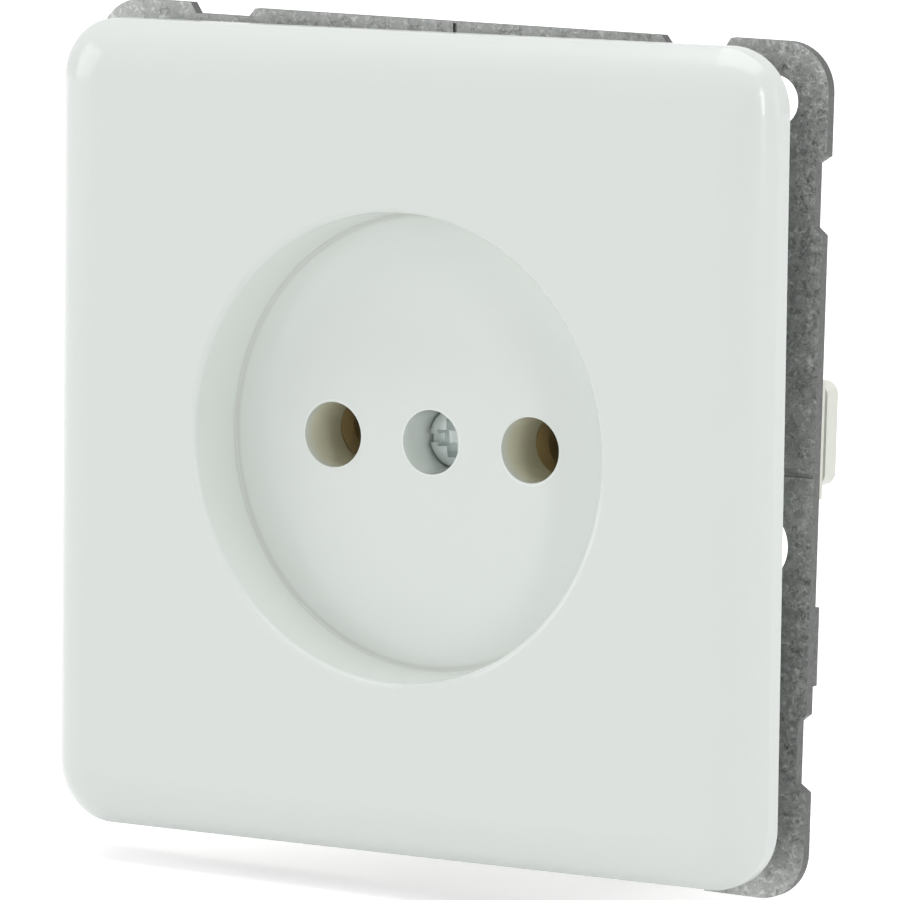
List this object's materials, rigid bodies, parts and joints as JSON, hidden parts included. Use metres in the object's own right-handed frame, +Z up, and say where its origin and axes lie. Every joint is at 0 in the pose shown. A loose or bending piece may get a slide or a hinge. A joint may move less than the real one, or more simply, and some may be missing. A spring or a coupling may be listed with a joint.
{
  "type": "unearthed flush wall socket",
  "caption": "Flush two-pin wall socket: square white cover with a round recess on a square steel support frame, spreading claws and push-in terminals behind.",
  "frame": {"origin": "centre of the support frame's rear face, which lies on the wall", "axes": "+X to the right and +Z up as seen from the room, +Y into the wall"},
  "size_m": [0.0698, 0.0329, 0.0698],
  "materials": {
    "white_plastic": "glossy moulded thermoplastic",
    "cream_plastic": "satin moulded thermoset",
    "lever_plastic": "satin moulded thermoplastic",
    "galvanised_sheet": "galvanised sheet with fine spangle",
    "zinc_plated_steel": "bright zinc plate",
    "spring_steel": "bare spring steel",
    "contact_brass": "stamped brass sheet"
  },
  "bodies": {
    "socket": {"cover_plate": "white_plastic", "cover_screw": "zinc_plated_steel", "support_frame": "galvanised_sheet", "base_body": "cream_plastic", "rear_cap": "cream_plastic", "screw_nut": "zinc_plated_steel", "frame_rivets": "zinc_plated_steel", "contact_left": "contact_brass", "contact_spring_left": "spring_steel", "wire_clamp_upper_left": "spring_steel", "wire_clamp_lower_left": "spring_steel", "claw_pin_left": "zinc_plated_steel", "contact_right": "contact_brass", "contact_spring_right": "spring_steel", "wire_clamp_upper_right": "spring_steel", "wire_clamp_lower_right": "spring_steel", "claw_pin_right": "zinc_plated_steel"},
    "claw_screw_left": {"claw_screw_left": "zinc_plated_steel"},
    "claw_left": {"claw_left": "galvanised_sheet"},
    "claw_nut_left": {"claw_nut_left": "zinc_plated_steel"},
    "release_lever_left": {"release_lever_left": "lever_plastic"},
    "claw_screw_right": {"claw_screw_right": "zinc_plated_steel"},
    "claw_right": {"claw_right": "galvanised_sheet"},
    "claw_nut_right": {"claw_nut_right": "zinc_plated_steel"},
    "release_lever_right": {"release_lever_right": "lever_plastic"}
  },
  "joints": [
    {"name": "claw_screw_turn_left", "type": "hinge", "parent": "socket", "child": "claw_screw_left", "pos_m": [-0.01951, -0.001, 0.01755], "axis": [0, 1, 0], "range_deg": [0, 4320]},
    {"name": "claw_spread_left", "type": "hinge", "parent": "socket", "child": "claw_left", "pos_m": [-0.01551, 0.0028, 0.01755], "axis": [0, 0, 1], "range_deg": [0, 17]},
    {"name": "claw_nut_slide_left", "type": "slide", "parent": "socket", "child": "claw_nut_left", "axis": [0, -1, 0], "range_m": [0, 0.0084]},
    {"name": "lever_press_left", "type": "slide", "parent": "socket", "child": "release_lever_left", "axis": [1, 0, 0], "range_m": [0, 0.0008], "stiffness_N_per_m": 2500},
    {"name": "claw_screw_turn_right", "type": "hinge", "parent": "socket", "child": "claw_screw_right", "pos_m": [0.01951, -0.001, -0.01755], "axis": [0, 1, 0], "range_deg": [0, 4320]},
    {"name": "claw_spread_right", "type": "hinge", "parent": "socket", "child": "claw_right", "pos_m": [0.01551, 0.0028, -0.01755], "axis": [0, 0, -1], "range_deg": [0, 17]},
    {"name": "claw_nut_slide_right", "type": "slide", "parent": "socket", "child": "claw_nut_right", "axis": [0, -1, 0], "range_m": [0, 0.0084]},
    {"name": "lever_press_right", "type": "slide", "parent": "socket", "child": "release_lever_right", "axis": [-1, 0, 0], "range_m": [0, 0.0008], "stiffness_N_per_m": 2500}
  ],
  "couplings": [
    {"joint": "claw_spread_left", "follows": "claw_nut_slide_left", "rad_per_m": 35.322},
    {"joint": "claw_screw_turn_left", "follows": "claw_nut_slide_left", "rad_per_m": 8976},
    {"joint": "claw_spread_right", "follows": "claw_nut_slide_right", "rad_per_m": 35.322},
    {"joint": "claw_screw_turn_right", "follows": "claw_nut_slide_right", "rad_per_m": 8976}
  ]
}
